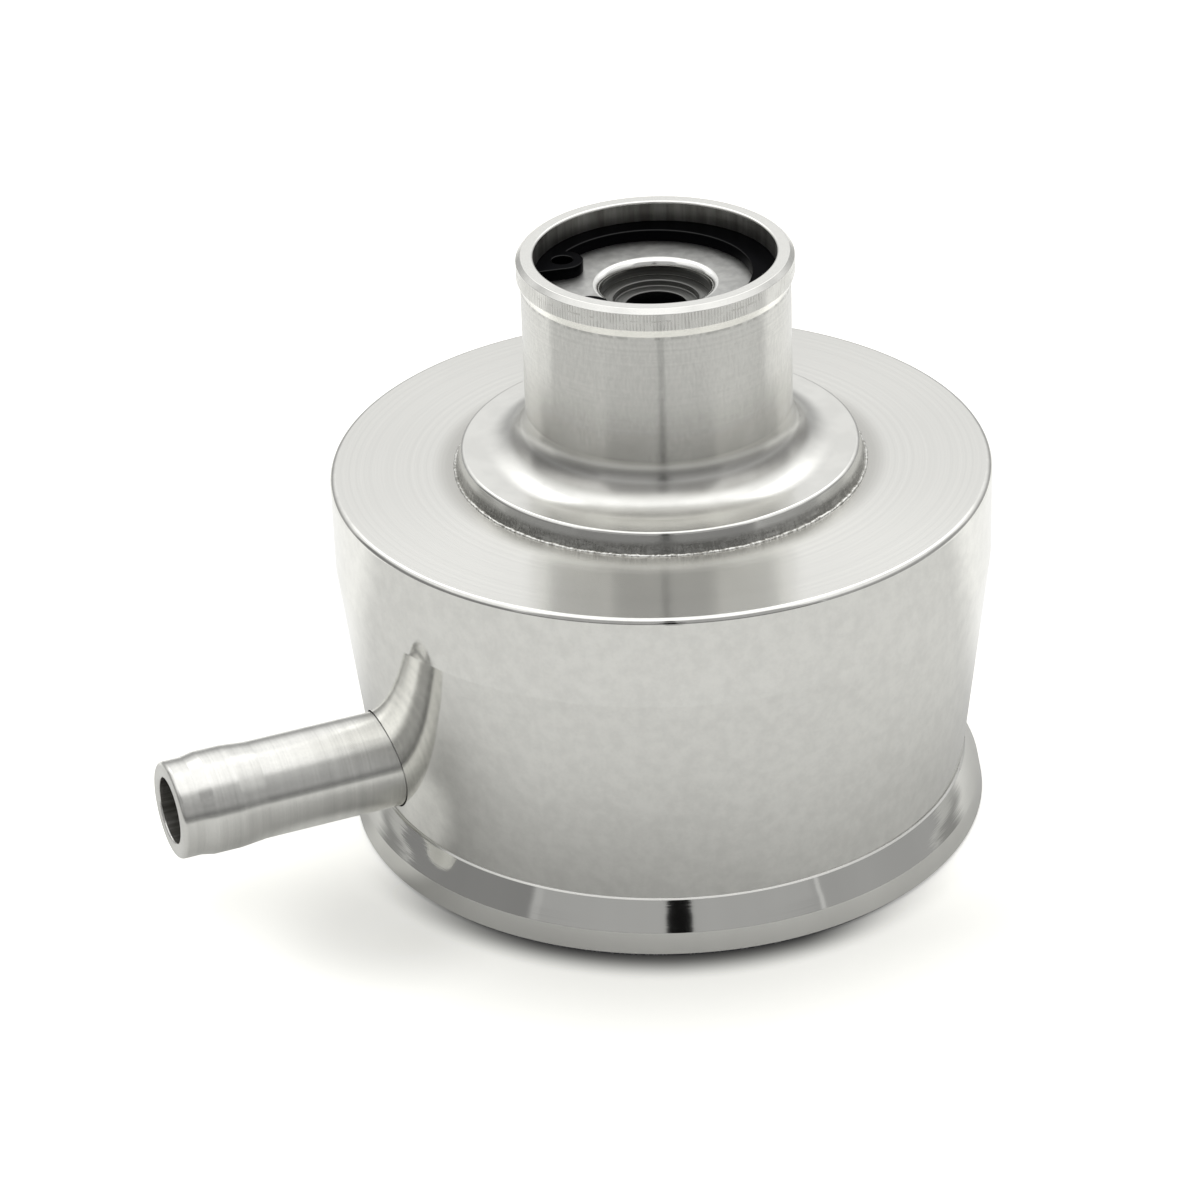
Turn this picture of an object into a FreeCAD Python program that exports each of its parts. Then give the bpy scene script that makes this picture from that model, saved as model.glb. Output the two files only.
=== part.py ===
"""Valve cover breather: a billet body with a push-in neck, a hose nipple and a sprung check valve.

The breather stands on its wide outer face with the neck up. In the engine it is turned over and the
neck is pushed into the grommet of the valve cover. Gas enters the neck, passes the hole in the valve
disc, lifts the sprung plunger, runs through the orifice into the chamber and leaves by the nipple.

The origin is the centre of the flat outer face, +Z runs up the neck and the nipple points along -X.
All sizes are in millimetres.
"""
import FreeCAD, Part
import math
import os
import re

import Sketcher

SIZES = [
    ("body_d", 64.0, "body, across the straight band under the shoulder"),
    ("body_h", 36.9, "height of the shoulder over the outer face"),
    ("band_h", 9.1, "height of the straight band"),
    ("crease_d", 58.9, "body, across the foot of the taper"),
    ("foot_h", 5.42, "height of the crease between taper and foot"),
    ("bevel_d", 59.3, "foot, across the top of its bevel, outside a narrow ledge"),
    ("bevel_h", 5.3, "height of the top of the bevel"),
    ("foot_d", 62.1, "foot, across the edge of its bevel"),
    ("foot_band_h", 2.5, "height of the band under the bevel"),
    ("base_d", 62.8, "foot, across the edge over its base chamfer"),
    ("edge_round", 0.6, "rounding of the shoulder's edge"),
    ("base_chamfer", 0.4, "chamfer between foot and outer face"),
    ("crease_round", 0.1, "rounding in the crease"),
    ("chamber_d", 36.0, "gas chamber"),
    ("floor_t", 5.0, "wall under the chamber"),
    ("floor_round", 2.0, "rounding of the chamber's floor"),
    ("plug_d", 39.7, "plug of the neck insert, in the body's mouth"),
    ("plug_h", 7.0, "depth of the plug in the body"),
    ("press_gap", 0.02, "clearance between pieces pressed together"),
    ("lead_in", 0.6, "chamfer of pressed ends"),
    ("boss_d", 38.4, "boss, across its top edge"),
    ("boss_h", 2.15, "height of the boss over the shoulder"),
    ("boss_round", 0.4, "rounding of the boss's top edge"),
    ("neck_d", 25.7, "neck"),
    ("neck_h", 22.0, "height of the neck's rim over the shoulder"),
    ("neck_round", 4.0, "hollow between boss and neck"),
    ("bead_d", 26.4, "grommet bead at the neck's rim"),
    ("bead_h", 2.1, "height of the bead's land with the rim's chamfer"),
    ("bead_ramp", 0.8, "height of the slope under the bead"),
    ("rim_chamfer", 0.45, "chamfer of the rim"),
    ("mouth_d", 23.0, "neck bore over the valve disc"),
    ("mouth_chamfer", 0.2, "chamfer of the bore's edge"),
    ("valve_bore_d", 19.0, "valve bore"),
    ("web_t", 3.0, "web under the valve bore"),
    ("orifice_d", 8.0, "orifice through the web"),
    ("ring_drop", 2.1, "snap ring's top face under the rim"),
    ("ring_t", 1.2, "thickness of the snap ring"),
    ("ring_d", 24.0, "snap ring, outside"),
    ("ring_hole_d", 19.2, "snap ring, inside"),
    ("ring_shift", 0.45, "how far the ring's inside lies towards its gap"),
    ("ring_gap", 6.6, "gap of the snap ring"),
    ("ring_turn", 171.0, "direction of the gap, in degrees from +X"),
    ("lug_d", 4.0, "lug of the snap ring"),
    ("lug_hole_d", 2.0, "plier hole in a lug"),
    ("lug_pcd", 18.8, "circle of the plier holes"),
    ("lug_angle", 34.0, "half the angle between the plier holes"),
    ("groove_gap", 0.05, "clearance of the snap ring in its groove"),
    ("disc_t", 1.6, "thickness of the valve disc"),
    ("disc_gap", 0.1, "clearance round the valve disc"),
    ("disc_hole_d", 10.4, "hole in the valve disc"),
    ("disc_roll", 0.75, "rolled edge of the hole"),
    ("disc_edge", 0.25, "rounding of the disc's outer edges"),
    ("head_d", 16.4, "plunger head"),
    ("head_t", 1.4, "thickness of the plunger head"),
    ("step_d", 8.1, "stepped mouth of the plunger"),
    ("step_h", 0.6, "depth of the stepped mouth"),
    ("hollow_d", 5.8, "hollow of the plunger"),
    ("hollow_h", 9.0, "depth of the hollow under the head's face"),
    ("stem_d", 8.8, "plunger stem"),
    ("taper_d", 6.9, "metering taper at the stem's shoulder"),
    ("tip_d", 4.8, "metering taper at its tip"),
    ("tip_lift", 1.5, "tip of the taper over the web's lower face"),
    ("bleed_d", 1.2, "bleed hole through the taper"),
    ("travel", 5.0, "travel of the plunger"),
    ("stop_gap", 0.05, "clearance left at the end of the travel"),
    ("spring_d", 13.4, "spring, across the middle of its wire"),
    ("wire_d", 0.6, "spring wire"),
    ("coils", 5, "open coils of the spring, between a closed coil at each end"),
    ("coil_gap", 0.05, "gap under a closed coil"),
    ("nipple_z", 11.0, "height of the nipple's axis"),
    ("nipple_d", 9.6, "nipple tube"),
    ("nipple_bore_d", 6.5, "bore of the nipple"),
    ("nipple_reach", 52.1, "tip of the nipple from the body's axis"),
    ("nipple_lip", 2.5, "wall left between the nipple's end and the chamber"),
    ("hose_bead_d", 10.1, "hose bead"),
    ("hose_lead", 2.1, "straight lead-in at the tip"),
    ("hose_ramp", 1.3, "length of the bead's front ramp"),
    ("hose_land", 2.7, "length of the bead's land"),
    ("hose_back", 2.6, "length of the bead's back slope"),
    ("tip_chamfer", 0.4, "chamfer of the tip"),
    ("tip_sink", 0.25, "chamfer of the bore at the tip"),
]

# Heights and radii that several pieces share, as formulas on the sizes
RIM_Z = "(body_h + neck_h)"
RING_TOP_Z = f"({RIM_Z} - ring_drop)"
DISC_TOP_Z = f"({RING_TOP_Z} - ring_t)"
DISC_LOW_Z = f"({DISC_TOP_Z} - disc_t)"
HEAD_LOW_Z = f"({DISC_LOW_Z} - head_t)"
PLUG_LOW_Z = "(body_h - plug_h)"
WEB_TOP_Z = f"({PLUG_LOW_Z} + web_t)"
BEAD_Z = f"({RIM_Z} - bead_h)"
NIPPLE_END = "(chamber_d / 2 + nipple_lip)"

doc = FreeCAD.newDocument("valve_cover_breather")
sheet = doc.addObject("Spreadsheet::Sheet", "Sizes")
for row, (alias, number, note) in enumerate(SIZES, start=1):
    sheet.set(f"A{row}", note)
    sheet.set(f"B{row}", str(number))
    sheet.setAlias(f"B{row}", alias)
doc.recompute()
ALIASES = {alias for alias, number, note in SIZES}


def bound(formula):
    """The formula with the name of each size pointed at the sheet."""
    return re.sub(r"[a-z_]+", lambda word: f"Sizes.{word[0]}" if word[0] in ALIASES else word[0], formula)


def value(formula):
    """What the formula comes to with the sheet's numbers."""
    return float(sheet.evalExpression(formula))


def new_body(label):
    """An empty body whose label names the piece."""
    body = doc.addObject("PartDesign::Body", label)
    body.Label = label
    return body


def new_sketch(body, name, plane):
    """An empty sketch on one of the body's own origin planes."""
    sketch = body.newObject("Sketcher::SketchObject", name)
    support = next(item for item in body.Origin.OriginFeatures if item.Role == plane)
    sketch.AttachmentSupport = [(support, "")]
    sketch.MapMode = "FlatFace"
    return sketch


def pin_point(sketch, shape, point, across, up):
    """Hold one point of a sketched shape at two formulas; "0" puts it on that axis."""
    for kind, formula, axis in (("DistanceX", across, -2), ("DistanceY", up, -1)):
        if formula == "0":
            sketch.addConstraint(Sketcher.Constraint("PointOnObject", shape, point, axis))
        else:
            index = sketch.addConstraint(Sketcher.Constraint(kind, shape, point, value(formula)))
            sketch.setExpression(f"Constraints[{index}]", bound(formula))


def add_polygon(sketch, corners):
    """A closed outline of straight lines whose corners are pairs of formulas."""
    spots = [FreeCAD.Vector(value(across), value(up), 0) for across, up in corners]
    ends = spots[1:] + spots[:1]
    lines = sketch.addGeometry([Part.LineSegment(start, end) for start, end in zip(spots, ends)])
    for line, following in zip(lines, list(lines[1:]) + [lines[0]]):
        sketch.addConstraint(Sketcher.Constraint("Coincident", line, 2, following, 1))
    for line, (across, up) in zip(lines, corners):
        pin_point(sketch, line, 1, across, up)


def add_circle(sketch, across, up, diameter):
    """A circle whose centre and diameter are formulas."""
    centre = FreeCAD.Vector(value(across), value(up), 0)
    circle = sketch.addGeometry(Part.Circle(centre, FreeCAD.Vector(0, 0, 1), value(diameter) / 2))
    pin_point(sketch, circle, 3, across, up)
    index = sketch.addConstraint(Sketcher.Constraint("Diameter", circle, value(diameter)))
    sketch.setExpression(f"Constraints[{index}]", bound(diameter))


def turn(body, name, corners, kind="PartDesign::Revolution"):
    """Turn an outline of (radius, height) corners about the body's Z axis."""
    sketch = new_sketch(body, name + "_outline", "XZ_Plane")
    add_polygon(sketch, corners)
    feature = body.newObject(kind, name)
    feature.Profile = (sketch, [""])
    feature.ReferenceAxis = (sketch, ["V_Axis"])
    feature.Angle = 360
    doc.recompute()
    return feature


def bore(body, name, corners):
    """Cut a turned outline out of the body."""
    before = body.Shape.Volume
    feature = turn(body, name, corners, "PartDesign::Groove")
    check_cut(name, before, body.Shape.Volume)
    return feature


def extrude(body, sketch, name, kind, length=None):
    """Pad a sketch by a formula, or pocket it through everything on one side."""
    feature = body.newObject(kind, name)
    feature.Profile = (sketch, [""])
    if length is None:
        feature.Type = "ThroughAll"
    else:
        feature.setExpression("Length", bound(length))
    doc.recompute()
    return feature


def check_cut(name, before, after):
    """Stop when a cut has taken nothing away."""
    if not after < before - 0.01:
        raise RuntimeError(f"{name} cuts nothing")


def dress(body, name, kind, size, circles):
    """Round or chamfer the circular edges given as (diameter, height) formulas."""
    tip = body.Tip
    wanted = [(value(diameter) / 2, value(height)) for diameter, height in circles]
    edges = []
    for number, edge in enumerate(tip.Shape.Edges, start=1):
        if not isinstance(edge.Curve, Part.Circle):
            continue
        for radius, height in wanted:
            same_radius = abs(edge.Curve.Radius - radius) < 1e-4
            if same_radius and abs(edge.Curve.Center.z - height) < 1e-4:
                edges.append(f"Edge{number}")
    if len(edges) < len(wanted):
        raise RuntimeError(f"{name} finds {len(edges)} of {len(wanted)} edges")
    feature = body.newObject(kind, name)
    feature.Base = (tip, edges)
    if kind == "PartDesign::Fillet":
        feature.setExpression("Radius", bound(size))
    else:
        feature.setExpression("Size", bound(size))
    doc.recompute()
    return feature


def make_breather_body():
    """Billet cup: flared foot, tapered wall, straight band, flat shoulder and stepped mouth."""
    body = new_body("breather_body")
    turn(body, "billet", [
        ("0", "0"),
        ("base_d / 2 - base_chamfer", "0"),
        ("base_d / 2", "base_chamfer"),
        ("foot_d / 2", "foot_band_h"),
        ("bevel_d / 2", "bevel_h"),
        ("crease_d / 2", "foot_h"),
        ("body_d / 2", "body_h - band_h"),
        ("body_d / 2", "body_h"),
        ("0", "body_h"),
    ])
    bore(body, "chamber", [
        ("0", "floor_t"),
        ("chamber_d / 2", "floor_t"),
        ("chamber_d / 2", PLUG_LOW_Z),
        ("plug_d / 2 + press_gap", PLUG_LOW_Z),
        ("plug_d / 2 + press_gap", "body_h"),
        ("0", "body_h"),
    ])
    for name, diameter, start in (
        ("nipple_seat", "nipple_d + 2 * press_gap", NIPPLE_END),
        ("nipple_passage", "nipple_bore_d", "0"),
    ):
        sketch = new_sketch(body, name + "_outline", "YZ_Plane")
        sketch.setExpression("AttachmentOffset.Base.z", f"-1 * {bound(start)}")
        add_circle(sketch, "0", "nipple_z", diameter)
        before = body.Shape.Volume
        extrude(body, sketch, name, "PartDesign::Pocket")
        check_cut(name, before, body.Shape.Volume)
    dress(body, "shoulder_edge", "PartDesign::Fillet", "edge_round", [("body_d", "body_h")])
    dress(body, "crease", "PartDesign::Fillet", "crease_round", [("crease_d", "foot_h")])
    dress(body, "chamber_floor", "PartDesign::Fillet", "floor_round", [("chamber_d", "floor_t")])
    return body


def make_neck_insert():
    """Plug, boss and neck in one, bored for the valve and grooved for the snap ring."""
    body = new_body("neck_insert")
    turn(body, "spigot", [
        ("0", PLUG_LOW_Z),
        ("plug_d / 2", PLUG_LOW_Z),
        ("plug_d / 2", "body_h"),
        ("boss_d / 2", "body_h + boss_h"),
        ("neck_d / 2", "body_h + boss_h"),
        ("neck_d / 2", f"{BEAD_Z} - bead_ramp"),
        ("bead_d / 2", BEAD_Z),
        ("bead_d / 2", RIM_Z),
        ("0", RIM_Z),
    ])
    bore(body, "valve_bore", [
        ("0", PLUG_LOW_Z),
        ("orifice_d / 2", PLUG_LOW_Z),
        ("orifice_d / 2", WEB_TOP_Z),
        ("valve_bore_d / 2", WEB_TOP_Z),
        ("valve_bore_d / 2", DISC_LOW_Z),
        ("mouth_d / 2", DISC_LOW_Z),
        ("mouth_d / 2", RIM_Z),
        ("0", RIM_Z),
    ])
    groove_low, groove_top = f"{DISC_TOP_Z} - groove_gap", f"{RING_TOP_Z} + groove_gap"
    bore(body, "ring_groove", [
        ("valve_bore_d / 2", groove_low),
        ("ring_d / 2 + groove_gap", groove_low),
        ("ring_d / 2 + groove_gap", groove_top),
        ("valve_bore_d / 2", groove_top),
    ])
    dress(body, "neck_hollow", "PartDesign::Fillet", "neck_round", [("neck_d", "body_h + boss_h")])
    dress(body, "boss_edge", "PartDesign::Fillet", "boss_round", [("boss_d", "body_h + boss_h")])
    dress(body, "rim_edge", "PartDesign::Chamfer", "rim_chamfer", [("bead_d", RIM_Z)])
    dress(body, "mouth_edge", "PartDesign::Chamfer", "mouth_chamfer", [("mouth_d", RIM_Z)])
    dress(body, "plug_edge", "PartDesign::Chamfer", "lead_in", [("plug_d", PLUG_LOW_Z)])
    return body


def make_hose_nipple():
    """Tube with a low hose bead near its tip, modelled upright and laid along -X."""
    body = new_body("hose_nipple")
    land_front = "nipple_reach - hose_lead - hose_ramp"
    turn(body, "tube", [
        ("nipple_bore_d / 2", NIPPLE_END),
        ("nipple_d / 2", NIPPLE_END),
        ("nipple_d / 2", f"{land_front} - hose_land - hose_back"),
        ("hose_bead_d / 2", f"{land_front} - hose_land"),
        ("hose_bead_d / 2", land_front),
        ("nipple_d / 2", "nipple_reach - hose_lead"),
        ("nipple_d / 2", "nipple_reach"),
        ("nipple_bore_d / 2", "nipple_reach"),
    ])
    dress(body, "tip_edge", "PartDesign::Chamfer", "tip_chamfer", [("nipple_d", "nipple_reach")])
    dress(body, "tip_bore", "PartDesign::Chamfer", "tip_sink", [("nipple_bore_d", "nipple_reach")])
    dress(body, "shank_edge", "PartDesign::Chamfer", "lead_in", [("nipple_d", NIPPLE_END)])
    body.Placement.Rotation = FreeCAD.Rotation(FreeCAD.Vector(0, 1, 0), -90)
    body.setExpression("Placement.Base.z", bound("nipple_z"))
    return body


def make_snap_ring():
    """Internal retaining ring, widest opposite its gap, with a plier lug at each end."""
    body = new_body("snap_ring")
    ring = new_sketch(body, "ring_outline", "XY_Plane")
    add_circle(ring, "0", "0", "ring_d")
    add_circle(ring, "ring_shift", "0", "ring_hole_d")
    extrude(body, ring, "ring", "PartDesign::Pad", "ring_t")
    across = "lug_pcd / 2 * cos(lug_angle)"
    up = "lug_pcd / 2 * sin(lug_angle)"
    for name, diameter, kind, length in (
        ("lugs", "lug_d", "PartDesign::Pad", "ring_t"),
        ("plier_holes", "lug_hole_d", "PartDesign::Pocket", None),
    ):
        sketch = new_sketch(body, name + "_outline", "XY_Plane")
        add_circle(sketch, across, up, diameter)
        add_circle(sketch, across, f"-1 * {up}", diameter)
        before = body.Shape.Volume
        feature = extrude(body, sketch, name, kind, length)
        if kind == "PartDesign::Pocket":
            feature.Reversed = True
            doc.recompute()
            check_cut(name, before, body.Shape.Volume)
    gap = new_sketch(body, "gap_outline", "XY_Plane")
    add_polygon(gap, [
        ("lug_pcd / 4", "-1 * ring_gap / 2"),
        ("ring_d", "-1 * ring_gap / 2"),
        ("ring_d", "ring_gap / 2"),
        ("lug_pcd / 4", "ring_gap / 2"),
    ])
    before = body.Shape.Volume
    cut = extrude(body, gap, "gap", "PartDesign::Pocket")
    cut.Reversed = True
    doc.recompute()
    check_cut("gap", before, body.Shape.Volume)
    body.Placement.Rotation = FreeCAD.Rotation(FreeCAD.Vector(0, 0, 1), value("ring_turn"))
    body.setExpression("Placement.Rotation.Angle", bound("ring_turn"))
    body.setExpression("Placement.Base.z", bound(DISC_TOP_Z))
    return body


def make_valve_disc():
    """Steel washer with a rolled hole, the seat that the plunger closes."""
    body = new_body("valve_disc")
    turn(body, "washer", [
        ("disc_hole_d / 2", DISC_LOW_Z),
        ("mouth_d / 2 - disc_gap", DISC_LOW_Z),
        ("mouth_d / 2 - disc_gap", DISC_TOP_Z),
        ("disc_hole_d / 2", DISC_TOP_Z),
    ])
    dress(body, "rolled_hole", "PartDesign::Fillet", "disc_roll", [("disc_hole_d", DISC_TOP_Z)])
    rim = "mouth_d - 2 * disc_gap"
    dress(body, "disc_edges", "PartDesign::Fillet", "disc_edge", [(rim, DISC_TOP_Z), (rim, DISC_LOW_Z)])
    return body


def make_valve_plunger():
    """Hollow plunger: flat head, stem with a stop shoulder, metering taper and bleed hole."""
    body = new_body("valve_plunger")
    shoulder = f"{WEB_TOP_Z} + travel + stop_gap"
    tip = f"{PLUG_LOW_Z} + tip_lift"
    hollow_floor = f"{DISC_LOW_Z} - hollow_h"
    turn(body, "plunger", [
        ("0", tip),
        ("tip_d / 2", tip),
        ("taper_d / 2", shoulder),
        ("stem_d / 2", shoulder),
        ("stem_d / 2", HEAD_LOW_Z),
        ("head_d / 2", HEAD_LOW_Z),
        ("head_d / 2", DISC_LOW_Z),
        ("0", DISC_LOW_Z),
    ])
    bore(body, "stepped_hollow", [
        ("0", tip),
        ("bleed_d / 2", tip),
        ("bleed_d / 2", hollow_floor),
        ("hollow_d / 2", hollow_floor),
        ("hollow_d / 2", f"{DISC_LOW_Z} - step_h"),
        ("step_d / 2", f"{DISC_LOW_Z} - step_h"),
        ("step_d / 2", DISC_LOW_Z),
        ("0", DISC_LOW_Z),
    ])
    return body


def make_plunger_spring():
    """Round-wire spring, closed and ground at both ends; each half turn is a tilted half torus."""
    closed_rise = "(wire_d + coil_gap) / 2"
    active_rise = f"({HEAD_LOW_Z} - {WEB_TOP_Z} - 4 * {closed_rise}) / (2 * coils)"
    rises = [closed_rise] * 2 + [active_rise] * int(2 * value("coils")) + [closed_rise] * 2
    half_turns = []
    start = WEB_TOP_Z
    for number, rise in enumerate(rises):
        half_turn = doc.addObject("Part::Torus", f"half_turn_{number + 1}")
        half_turn.setExpression("Radius1", bound(f"sqrt((spring_d / 2)^2 + ({rise} / 2)^2)"))
        half_turn.setExpression("Radius2", bound("wire_d / 2"))
        half_turn.Angle3 = 180
        tilt = math.degrees(math.atan2(value(rise), value("spring_d")))
        turned = FreeCAD.Rotation(FreeCAD.Vector(0, 0, 1), 180 * (number % 2))
        half_turn.Placement.Rotation = turned * FreeCAD.Rotation(FreeCAD.Vector(0, 1, 0), tilt)
        half_turn.setExpression("Placement.Base.z", bound(f"{start} + {rise} / 2"))
        start = f"{start} + {rise}"
        half_turns.append(half_turn)
    wire = doc.addObject("Part::MultiFuse", "wound_wire")
    wire.Shapes = half_turns
    room = doc.addObject("Part::Cylinder", "room_between_seats")
    room.setExpression("Radius", bound("spring_d / 2 + wire_d"))
    room.setExpression("Height", bound(f"{HEAD_LOW_Z} - {WEB_TOP_Z}"))
    room.setExpression("Placement.Base.z", bound(WEB_TOP_Z))
    spring = doc.addObject("Part::MultiCommon", "plunger_spring")
    spring.Shapes = [wire, room]
    spring.Label = "plunger_spring"
    doc.recompute()
    return spring


def check_document():
    """Stop when a feature has failed or a piece has no sound solid."""
    for item in doc.Objects:
        if "Invalid" in item.State or "Error" in item.State:
            raise RuntimeError(f"{item.Name} failed: {item.State}")


def export(pieces):
    """Write each piece to a file that has its label."""
    os.makedirs("parts", exist_ok=True)
    for piece in pieces:
        shape = piece.Shape
        if shape.isNull() or not shape.isValid() or len(shape.Solids) != 1:
            raise RuntimeError(f"{piece.Label} has no sound solid")
        shape.exportStep(f"parts/{piece.Label}.step")
        print(f"{piece.Label}: {shape.Volume / 1000:.3f} cm3")


pieces = [
    make_breather_body(),
    make_neck_insert(),
    make_hose_nipple(),
    make_snap_ring(),
    make_valve_disc(),
    make_valve_plunger(),
    make_plunger_spring(),
]
doc.recompute()
check_document()
export(pieces)
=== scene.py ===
"""Valve cover breather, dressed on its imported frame.

This is a Blender add-on file that is run as a script. Each operator makes one piece of the breather
in metres, in the frame's own axes: the outer face lies on z = 0, the neck points up +Z and the hose
nipple points along -X. The turned pieces are skins of revolution that carry the true normals of their
form, so that a polished face reflects without facets.
"""

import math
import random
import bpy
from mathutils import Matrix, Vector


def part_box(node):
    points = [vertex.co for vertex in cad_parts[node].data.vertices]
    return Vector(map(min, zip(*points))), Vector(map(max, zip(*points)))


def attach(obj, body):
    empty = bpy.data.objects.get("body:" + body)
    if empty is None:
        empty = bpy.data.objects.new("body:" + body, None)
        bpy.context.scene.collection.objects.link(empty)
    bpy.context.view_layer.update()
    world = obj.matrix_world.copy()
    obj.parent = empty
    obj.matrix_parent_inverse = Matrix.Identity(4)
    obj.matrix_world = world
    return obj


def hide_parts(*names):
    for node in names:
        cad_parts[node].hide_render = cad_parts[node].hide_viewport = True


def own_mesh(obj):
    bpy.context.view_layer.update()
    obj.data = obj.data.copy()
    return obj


bl_info = {
    "name": "Valve Cover Breather",
    "version": (1, 0, 0),
    "blender": (4, 5, 0),
    "location": "View3D > Sidebar > Breather",
    "description": "Builds a polished breather with a grommet neck, a hose nipple and a sprung valve",
    "category": "Object",
}

import bpy
from mathutils import Matrix, Vector

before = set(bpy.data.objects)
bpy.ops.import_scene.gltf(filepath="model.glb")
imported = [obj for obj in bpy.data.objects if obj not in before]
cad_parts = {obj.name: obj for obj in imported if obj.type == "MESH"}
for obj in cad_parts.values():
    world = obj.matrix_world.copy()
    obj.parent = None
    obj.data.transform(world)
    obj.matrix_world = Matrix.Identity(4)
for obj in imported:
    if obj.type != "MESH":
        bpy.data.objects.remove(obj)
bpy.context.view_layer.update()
MM = 0.001
MICRON = 0.000001
UP = Vector((0, 0, 1))
SEGMENTS = 256
PICTURE_SIDE = 1200.0
AIM_PIXEL = (664.6, 607.3)

_, BODY_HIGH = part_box("breather_body")
NECK_LOW, NECK_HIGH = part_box("neck_insert")
NIPPLE_LOW, NIPPLE_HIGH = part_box("hose_nipple")
RING_LOW, RING_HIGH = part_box("snap_ring")
DISC_LOW, DISC_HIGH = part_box("valve_disc")
PLUNGER_LOW, PLUNGER_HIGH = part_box("valve_plunger")
SPRING_LOW, SPRING_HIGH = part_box("plunger_spring")


def length(name, description, default):
    """A size that the sidebar shows as a length."""
    return bpy.props.FloatProperty(
        name=name, description=description, default=default, unit="LENGTH", min=0.0, precision=5
    )


def angle(name, description, degrees):
    """A direction that the sidebar shows in degrees."""
    return bpy.props.FloatProperty(
        name=name, description=description, default=math.radians(degrees), subtype="ANGLE"
    )


def tint(name, description, default):
    """A colour of the bare metal."""
    return bpy.props.FloatVectorProperty(
        name=name, description=description, default=default, subtype="COLOR", min=0.0, max=1.0
    )


def share(name, description, default):
    """A number from 0 to 1."""
    return bpy.props.FloatProperty(
        name=name, description=description, default=default, subtype="FACTOR", min=0.0, max=1.0
    )


class BodySizes(bpy.types.PropertyGroup):
    """Turned outline of the breather's body"""

    radius: length("Body radius", "Across the straight band under the shoulder", BODY_HIGH.x)
    height: length("Shoulder height", "Height of the shoulder over the outer face", BODY_HIGH.z)
    band_h: length("Band height", "Height of the straight band", 9.1 * MM)
    crease_r: length("Crease radius", "Radius at the foot of the taper", 29.45 * MM)
    crease_h: length("Crease height", "Height of the crease between taper and foot", 5.42 * MM)
    bevel_r: length("Bevel radius", "Radius at the top of the bevel, outside a narrow ledge", 29.65 * MM)
    bevel_h: length("Bevel height", "Height of the top of the bevel", 5.3 * MM)
    foot_r: length("Foot radius", "Radius at the edge of the foot's bevel", 31.05 * MM)
    foot_h: length("Foot height", "Height of the band under the bevel", 2.5 * MM)
    crown: length("Foot crown", "How far the foot's bevel is crowned", 0.025 * MM)
    base_r: length("Base radius", "Radius over the base chamfer", 31.4 * MM)
    chamfer: length("Base chamfer", "Chamfer between foot and outer face", 0.4 * MM)
    chamber_r: length("Chamber radius", "Radius of the gas chamber", 18.0 * MM)
    floor_t: length("Floor thickness", "Wall under the chamber", 5.0 * MM)
    mouth_r: length("Mouth radius", "Radius of the mouth that takes the neck insert", 19.87 * MM)
    mouth_h: length("Mouth depth", "Depth of the mouth under the shoulder", 7.0 * MM)
    edge: length("Edge", "Rounding of the shoulder's outer edge", 0.6 * MM)
    burr: length("Burr", "Size of the ragged burr round the mouth", 0.22 * MM)


class NeckSizes(bpy.types.PropertyGroup):
    """Turned outline of the neck insert and of the valve inside it"""

    plug_r: length("Plug radius", "Radius of the part inside the body", NECK_HIGH.x)
    boss_r: length("Boss radius", "Radius at the boss's top edge", 19.2 * MM)
    boss_h: length("Boss height", "Height of the boss over the shoulder", 2.15 * MM)
    neck_r: length("Neck radius", "Radius of the neck under its bead", 12.85 * MM)
    hollow: length("Hollow", "Rounding between boss and neck", 4.0 * MM)
    bead_r: length("Bead radius", "Radius of the bead at the rim", 13.2 * MM)
    bead_h: length("Bead height", "Height of the bead with the rim's chamfer", 2.1 * MM)
    bead_ramp: length("Bead ramp", "Height of the slope under the bead", 0.8 * MM)
    rim_chamfer: length("Rim chamfer", "Chamfer of the rim's outer edge", 0.45 * MM)
    mouth_r: length("Neck bore", "Radius of the bore over the valve disc", 11.5 * MM)
    valve_bore_r: length("Valve bore", "Radius of the bore round the plunger", 9.5 * MM)
    web_t: length("Web", "Thickness of the web under the valve bore", 3.0 * MM)
    orifice_r: length("Orifice", "Radius of the hole in the web", 4.0 * MM)
    disc_hole_r: length("Disc hole", "Radius of the hole in the valve disc", 5.2 * MM)
    disc_roll: length("Disc roll", "Rolled edge of the disc's hole", 0.75 * MM)
    groove_r: length("Groove", "Radius of the snap ring's groove", 12.05 * MM)


class NippleSizes(bpy.types.PropertyGroup):
    """Turned outline of the hose nipple"""

    tube_r: length("Tube radius", "Radius of the straight tube", 4.8 * MM)
    bore_r: length("Bore radius", "Radius of the bore", 3.25 * MM)
    bead_r: length("Bead radius", "Radius of the hose bead", NIPPLE_HIGH.y)
    lead: length("Lead", "Straight end before the bead", 2.1 * MM)
    ramp: length("Ramp", "Length of the bead's front ramp", 1.3 * MM)
    land: length("Land", "Length of the bead's land", 2.7 * MM)
    back: length("Back slope", "Length of the bead's back slope", 2.6 * MM)
    joint: length("Joint", "Gap between the nipple and the wall", 0.14 * MM)


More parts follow.
